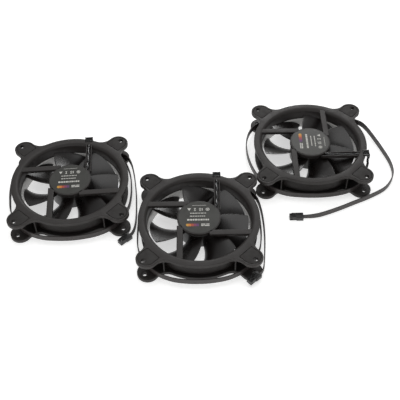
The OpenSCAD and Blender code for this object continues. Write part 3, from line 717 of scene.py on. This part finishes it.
for fan in FANS:
    ring = lathe_shape([(50.0, 0.3), (56.0, 0.3), (56.0, 1.2), (51.6, 1.2), (51.6, 11.75),
                        (51.35, 12.0), (50.45, 12.0), (50.12, 11.88), (50.0, 11.55)])
    ring = piece(fan + "_diffuser", *joined([ring]), milky_acrylic, in_place(fan))
    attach(ring, fan + "_fan")
    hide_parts(fan + "_light_ring")


# --- Motors -------------------------------------------------------------------------------
# The motor's own parts lie inside the hub. They keep their exact shapes and get the finish
# of what they are: drawn steel, ferrite, bronze, laminations, nylon, copper and board.

motor_finishes = {
    "light_strip": strip_film,
    # deep-drawn zinc-plated steel: soft, slightly wavy shine
    "rotor_cup": finish_of("drawn_plated_steel", "9a9a97", "adadaa", 9, 0.7, 0.004, (0.28, 0.4), 1.0),
    # plastic-bonded ferrite: dark, dry, a little brown
    "magnet_ring": finish_of("bonded_ferrite", "2b2725", "37322f", 3, 0.5, 0.02, (0.6, 0.75)),
    # ground steel: bright and even
    "shaft": finish_of("ground_steel", "b9b9b7", "c4c4c2", 4, 0.4, 0.002, (0.14, 0.2), 1.0),
    # natural nylon: ivory, waxy
    "shaft_clip": finish_of("natural_nylon", "d8d3c4", "e0dccf", 3, 0.4, 0.01, (0.4, 0.5)),
    # oil-filled sintered bronze: warm and dull
    "bearing": finish_of("sintered_bronze", "8f6d42", "a37f52", 3, 0.35, 0.02, (0.4, 0.55), 1.0),
    # stamped electrical steel: grey, dull
    "stator_core": finish_of("electrical_steel", "6f7173", "7d8082", 4, 0.5, 0.01, (0.4, 0.5), 1.0),
    # moulded nylon bobbin: off-white
    "stator_insulator": finish_of("bobbin_nylon", "d6d1c2", "dfdbce", 4, 0.5, 0.01, (0.45, 0.55)),
    # enamelled copper wire: wound turns, drawn 0.4 mm apart so that they show
    "stator_coils": finish_of("enamelled_copper", "8d4a1c", "a55a26", 3, 0.4, 0.05, (0.3, 0.4), 1.0),
    # solder-masked fibre board: deep green
    "motor_board": finish_of("solder_mask_board", "1d4a27", "255a30", 5, 0.5, 0.01, (0.35, 0.45)),
}
for fan in FANS:
    for part, finish in motor_finishes.items():
        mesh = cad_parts[f"{fan}_{part}"].data
        mesh.materials.clear()
        mesh.materials.append(finish)


# --- Labels ---------------------------------------------------------------------------------
# A round printed foil covers the motor seat. Its print is plain: a row of four simple signs,
# rows of short bars, and a wide bar that runs from yellow to purple beside a light one.

LABEL_R, LABEL_T, INK_T, SIGN_ROW = 20.2, 0.25, 0.05, 10.0
LABEL_Z = SEAT_TOP + LABEL_T

# printed polyester foil: olive-black with a satin clear coat
label_foil = finish_of("printed_polyester_foil", "2b2b27", "32322e", 10, 0.8, 0.006, (0.3, 0.4),
                       **{"Coat Weight": 0.25})
# screen-printing inks: thick and even
white_ink = finish_of("white_screen_ink", "b9b8b2", "cfcec8", 1.5, 0.4, 0.01, (0.45, 0.6))
warm_inks = [finish_of(f"screen_ink_{n}", low, high, 1.5, 0.4, 0.01, (0.45, 0.6))
             for n, (low, high) in enumerate((("b8862a", "cf9a35"), ("bd6a22", "cc7a2c"),
                                              ("9c3c28", "ab4a33"), ("7a2f4e", "86395a"),
                                              ("54305f", "61396d")))]


def flat_mark(outline):
    """A patch of ink with the given outline."""
    shape = bmesh.new()
    rows = [[shape.verts.new((x, y, z)) for x, y in outline]
            for z in (LABEL_Z - 0.02, LABEL_Z + INK_T)]
    for j in range(len(outline)):
        k = (j + 1) % len(outline)
        shape.faces.new((rows[0][j], rows[0][k], rows[1][k], rows[1][j]))
    shape.faces.new(list(reversed(rows[0])))
    shape.faces.new(rows[1])
    return shape


def bar_mark(x0, x1, y, h):
    """A short printed bar."""
    return flat_mark(soft_outline([(x0, y - h / 2), (x1, y - h / 2), (x1, y + h / 2), (x0, y + h / 2)],
                                  min(h, x1 - x0) * 0.3))


def ring_mark(x, y, r, w):
    """A printed ring."""
    shape = lathe_shape([(r - w, LABEL_Z - 0.02), (r, LABEL_Z - 0.02), (r, LABEL_Z + INK_T),
                         (r - w, LABEL_Z + INK_T)], 28)
    bmesh.ops.translate(shape, verts=shape.verts, vec=(x, y, 0))
    return shape


def label_marks():
    """The white print: signs, rows of bars of uneven length, and the light bar."""
    rng = np.random.default_rng(7)
    marks = [ring_mark(8.6, SIGN_ROW, 1.9, 0.65), bar_mark(7.9, 9.3, SIGN_ROW, 1.2),
             flat_mark(soft_outline([(-11.4, 11.6), (-9.6, 8.2), (-7.8, 11.6)], 0.4)),
             bar_mark(-4.9, -3.0, 11.3, 0.7), bar_mark(-4.3, -3.6, 9.8, 2.6),
             bar_mark(-4.9, -3.0, 8.4, 0.6), ring_mark(1.2, SIGN_ROW + 0.6, 1.1, 0.5), bar_mark(3.0, 3.7, SIGN_ROW, 3.2),
             bar_mark(0.2, 2.2, 8.4, 0.6), bar_mark(-6.6, 7.2, 15.3, 0.35)]
    for y, h, start, stop in ((5.1, 1.0, -8.7, 7.0), (1.3, 1.0, -8.8, 6.9), (-3.3, 2.0, -11.6, 9.8)):
        x = start
        while x < stop - 0.5:
            long = min(rng.uniform(0.7, 2.4), stop - x)
            marks.append(bar_mark(x, x + long, y, h))
            x += long + 0.45
    marks += [bar_mark(2.0, 6.2, -9.0, 1.1), bar_mark(2.0, 4.6, -10.8, 1.1),
              bar_mark(5.2, 10.1, -10.8, 1.1), bar_mark(6.9, 10.1, -9.0, 1.1)]
    return marks


for fan in FANS:
    place = in_place(fan, LEAD_SIDE[fan])
    disc = lathe_shape([(0, SEAT_TOP), (LABEL_R, SEAT_TOP), (LABEL_R, LABEL_Z - 0.06),
                        (LABEL_R - 0.06, LABEL_Z), (0, LABEL_Z)], 96)
    foil = piece(fan + "_foil", *joined([disc]), label_foil, place)
    white = piece(fan + "_white_print", *joined(label_marks()), white_ink, place, sharp=30)
    for part in (foil, white):
        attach(part, fan + "_fan")
        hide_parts(fan + "_label")
    for n, ink in enumerate(warm_inks):
        x = -12.8 + n * 2.55
        tip = 0.8 if n == 0 else 0
        outline = [(x + tip, -11.4), (x + 2.5, -11.6), (x + 2.5, -8.4), (x + tip, -8.2), (x, -9.8)]
        dab = piece(f"{fan}_print_{n}", *joined([flat_mark(outline)]), ink, place)
        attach(dab, fan + "_fan")


# --- Motor wires ----------------------------------------------------------------------------
# Three thin insulated wires leave the motor board, lie twisted in the open strut, go over the
# rim in its notch and down to the flat lead.

WIRES, WIRE_D, WIRE_OFF, WIRE_TWIST = 3, 1.25, 0.76, 50
WIRE_SIDE = (1, 0, 0.1)
WIRE_ROUTE = [
    [11.8, 8.8, 22.9], [13.4, 10.9, 23], [15.3, 13.3, 23.1], [17.4, 17, 23.15], [18.4, 24, 23.15],
    [18.6, 34, 23.15], [18.6, 43, 23.15], [18.6, 51, 23.15], [18.6, 56, 23.2],
    [18.65, 59, 22], [18.75, 60, 18.2], [19.1, 60, 15.4], [20.2, 60, 13.6],
    [22.5, 59.8, 12.6]]

# Thin-walled PVC insulation, extruded: black, smooth and shiny.
wire_pvc = finish_of("thin_wall_pvc_wire", "050505", "090909", 5, 0.5, 0.01, (0.08, 0.14),
                     **{"Coat Weight": 0.8, "Coat Roughness": 0.06})

for fan in FANS:
    steps = 6
    path = smooth_path(WIRE_ROUTE, steps)
    ways = np.gradient(path, axis=0)
    ways /= np.linalg.norm(ways, axis=1)[:, None]
    side = np.cross(ways, WIRE_SIDE)
    side /= np.linalg.norm(side, axis=1)[:, None]
    up = np.cross(side, ways)
    circle = [(WIRE_D / 2 * math.cos(a), WIRE_D / 2 * math.sin(a))
              for a in np.linspace(0, 2 * math.pi, 12, endpoint=False)]
    shapes = []
    for wire in range(WIRES):
        a = wire * 360 / WIRES + WIRE_TWIST * 2 * np.arange(len(path)) / steps
        a = np.radians(a)[:, None]
        run = path + WIRE_OFF * (np.cos(a) * side + np.sin(a) * up)
        points, faces = swept(run, circle, WIRE_SIDE)
        shape = bmesh.new()
        verts = [shape.verts.new(p) for p in points]
        for f in faces:
            shape.faces.new([verts[i] for i in f])
        shapes.append(shape)
    wires = piece(fan + "_wires", *joined(shapes), wire_pvc, in_place(fan, LEAD_SIDE[fan]), sharp=60)
    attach(wires, fan + "_fan")
    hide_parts(fan + "_motor_wires")


# --- Wire clips -----------------------------------------------------------------------------
# A glossy nylon clip snaps over the rim's notch and holds the wires in it. It is a flat cap
# with two rails along its sides, a bridge across each end, and two legs down the outside.

CLIP_SIDES, CLIP_ENDS, CLIP_FOOT, CLIP_TOP = (14.5, 22.7), (53.6, 60.5), 20.0, 25.8
CLIP_RAIL, CLIP_LEG_W, CLIP_LEG_T = 1.5, 1.6, 1.2

# Nylon from a polished mould: black and glossy.
clip_nylon = finish_of("glossy_black_nylon", "050505", "090909", 4, 0.5, 0.006, (0.1, 0.16))

for fan in FANS:
    place = in_place(fan, LEAD_SIDE[fan])
    (left, right), (near, far) = CLIP_SIDES, CLIP_ENDS
    shapes = [block((left, near, 24.4), (right, far, 25.1), 0.2)]
    for start in (left, right - CLIP_RAIL):
        shapes.append(block((start, near, 24.0), (start + CLIP_RAIL, far, CLIP_TOP), 0.3))
    for start, stop in ((near + 0.1, near + 1.4), (far - 1.6, far - 0.2)):
        shapes.append(block((left + 0.4, start, 24.7), (right - 0.4, stop, CLIP_TOP - 0.2), 0.25))
    for start in (left, right - CLIP_LEG_W):
        shapes.append(block((start, far - CLIP_LEG_T, CLIP_FOOT),
                            (start + CLIP_LEG_W, far, 24.9), 0.25))
    clip = piece(fan + "_rim_clip", *joined(shapes), clip_nylon, place)
    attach(clip, fan + "_fan")
    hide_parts(fan + "_lead_clip")


# --- Table and light --------------------------------------------------------------------------
# A plain white table top, which glows a little so that it stays white under the soft light of
# three lamps: a large one above, a narrow one behind and a weak one in front.

TABLE = 4

# Painted board: white and dull.
white_card = finish_of("white_card", "e9e9e8", "eeeeed", 60, 1.5, 0.01, (0.7, 0.8),
                       **{"Emission Color": linear("ffffff"), "Emission Strength": 0.55})
card = bpy.data.meshes.new("table_top")
card.from_pydata([(x * TABLE, y * TABLE, 0) for x, y in ((-1, -1), (1, -1), (1, 1), (-1, 1))],
                 [], [(0, 1, 2, 3)])
card.materials.append(white_card)
table_top = bpy.data.objects.new("table_top", card)
bpy.context.collection.objects.link(table_top)

room = bpy.data.worlds.new("room")
room.use_nodes = True
sky = room.node_tree.nodes["Background"]
sky.inputs["Color"].default_value = linear("ffffff")
sky.inputs["Strength"].default_value = 0.4
bpy.context.scene.world = room


def lamp(name, place, size, power):
    """A rectangular lamp that looks at the middle of the row."""
    data = bpy.data.lights.new(name, "AREA")
    data.shape, data.size, data.size_y, data.energy = "RECTANGLE", size[0], size[1], power
    made = bpy.data.objects.new(name, data)
    way = Vector((0, 0.05, 0)) - Vector(place)
    made.matrix_world = Matrix.Translation(place) @ way.to_track_quat("-Z", "Y").to_matrix().to_4x4()
    bpy.context.collection.objects.link(made)


lamp("over_lamp", (0.0, 0.3, 1.6), (1.6, 1.2), 9)
lamp("back_lamp", (0.25, 1.5, 0.8), (0.9, 0.25), 7)
lamp("front_lamp", (-0.1, -1.4, 0.5), (1.4, 0.5), 5)
bpy.context.scene.view_settings.view_transform = "Standard"
